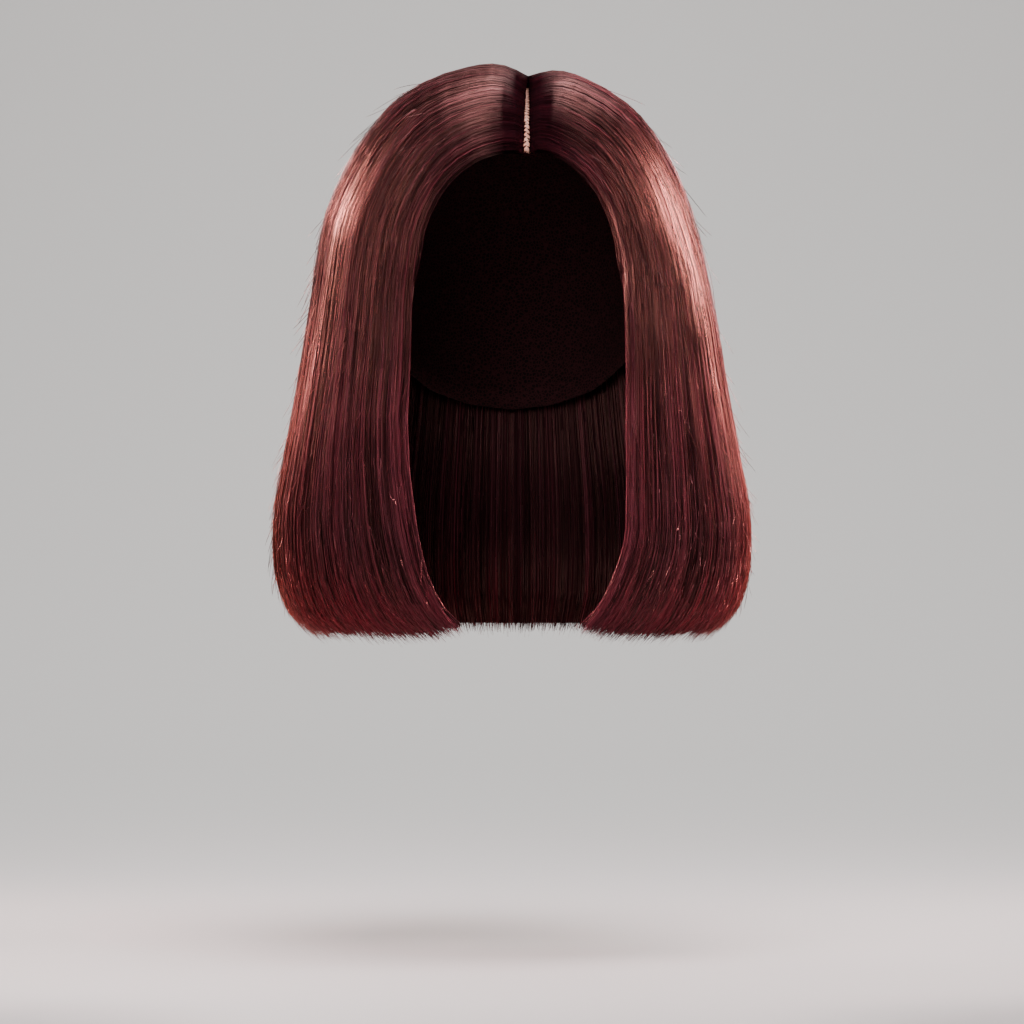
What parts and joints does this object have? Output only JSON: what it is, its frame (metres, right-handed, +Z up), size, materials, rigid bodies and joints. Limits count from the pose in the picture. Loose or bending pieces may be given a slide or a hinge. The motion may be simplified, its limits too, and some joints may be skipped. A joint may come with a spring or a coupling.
{
  "type": "bob wig",
  "caption": "Chin-length straight bob wig with a centre parting and tips that curl inward, on a net cap, standing open as it is worn.",
  "frame": {"origin": "where the crown of the head touches the inside of the cap", "axes": "+Z up, -Y towards the face, +X to the right of someone who looks at the face"},
  "size_m": [0.253, 0.1989, 0.306],
  "materials": {
    "fibre_side": "fine straight burgundy hair fibre with a soft sheen",
    "fibre_back": "fine straight burgundy hair fibre with a soft sheen",
    "cap_net": "dark knitted net, matt",
    "parting_lace": "pale flesh-toned silk lace, matt"
  },
  "bodies": {
    "root": {"wig_cap": "cap_net", "parting_strip": "parting_lace", "hair_left": "fibre_side", "hair_right": "fibre_side", "hair_back": "fibre_back"}
  },
  "joints": []
}
